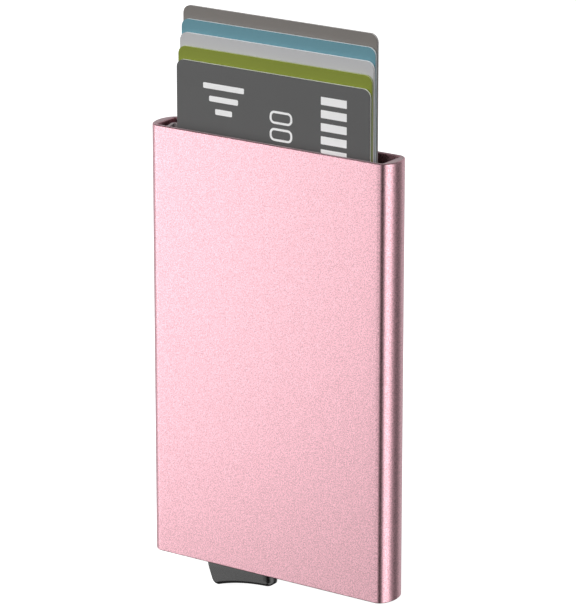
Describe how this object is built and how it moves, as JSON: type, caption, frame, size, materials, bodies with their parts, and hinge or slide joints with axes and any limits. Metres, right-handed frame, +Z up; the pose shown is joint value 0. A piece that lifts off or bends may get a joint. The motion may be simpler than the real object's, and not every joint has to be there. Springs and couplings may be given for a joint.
{
  "type": "card wallet",
  "caption": "Slim metal card sleeve with a thumb lever under it that pushes the stored bank cards out as a staircase.",
  "frame": {"origin": "on the ground below the middle of the sleeve, level with the lowest point of the trigger", "axes": "+Z up along the sleeve towards the card mouth, +X along the sleeve's width, the front face looks to -Y"},
  "size_m": [0.068, 0.0098, 0.1417],
  "materials": {
    "anodised_pink": "fine sand-blasted and anodised, satin",
    "base_plastic": "moulded, matt black",
    "trigger_plastic": "moulded, satin dark grey",
    "guide_plastic": "moulded, satin warm grey",
    "pin_steel": "ground steel",
    "felt": "dense black felt",
    "card_dark_grey": "smooth laminated card, satin",
    "card_olive": "smooth laminated card, satin",
    "card_silver": "smooth laminated card, satin",
    "card_blue": "smooth laminated card, satin",
    "card_warm_grey": "smooth laminated card, satin",
    "chip_contacts": "gold-plated contacts"
  },
  "bodies": {
    "housing": {"shell": "anodised_pink", "base_front": "base_plastic", "base_rear": "base_plastic", "pivot_pin": "pin_steel", "base_rivet_1": "pin_steel", "base_rivet_2": "pin_steel", "left_card_guide": "guide_plastic", "right_card_guide": "guide_plastic", "front_left_felt": "felt", "front_right_felt": "felt", "rear_left_felt": "felt", "rear_right_felt": "felt"},
    "lever": {"ejector_lever": "trigger_plastic"},
    "card_body_1": {"card_1": "card_dark_grey", "card_chip_1": "chip_contacts"},
    "card_body_2": {"card_2": "card_olive", "card_chip_2": "chip_contacts"},
    "card_body_3": {"card_3": "card_silver", "card_chip_3": "chip_contacts"},
    "card_body_4": {"card_4": "card_blue", "card_chip_4": "chip_contacts"},
    "card_body_5": {"card_5": "card_warm_grey", "card_chip_5": "chip_contacts"}
  },
  "joints": [
    {"name": "lever_swing", "type": "hinge", "parent": "housing", "child": "lever", "pos_m": [-0.013, 0, 0.0205], "axis": [0, 1, 0], "range_deg": [0, 52]},
    {"name": "card_slide_1", "type": "slide", "parent": "housing", "child": "card_body_1", "axis": [0, 0, 1], "range_m": [-0.01756, 0]},
    {"name": "card_slide_2", "type": "slide", "parent": "housing", "child": "card_body_2", "axis": [0, 0, 1], "range_m": [-0.02066, 0]},
    {"name": "card_slide_3", "type": "slide", "parent": "housing", "child": "card_body_3", "axis": [0, 0, 1], "range_m": [-0.02376, 0]},
    {"name": "card_slide_4", "type": "slide", "parent": "housing", "child": "card_body_4", "axis": [0, 0, 1], "range_m": [-0.02686, 0]},
    {"name": "card_slide_5", "type": "slide", "parent": "housing", "child": "card_body_5", "axis": [0, 0, 1], "range_m": [-0.02996, 0]}
  ],
  "couplings": [
    {"joint": "card_slide_1", "follows": "lever_swing", "m_per_rad": -0.019337},
    {"joint": "card_slide_2", "follows": "lever_swing", "m_per_rad": -0.022753},
    {"joint": "card_slide_3", "follows": "lever_swing", "m_per_rad": -0.026169},
    {"joint": "card_slide_4", "follows": "lever_swing", "m_per_rad": -0.029584},
    {"joint": "card_slide_5", "follows": "lever_swing", "m_per_rad": -0.033}
  ]
}
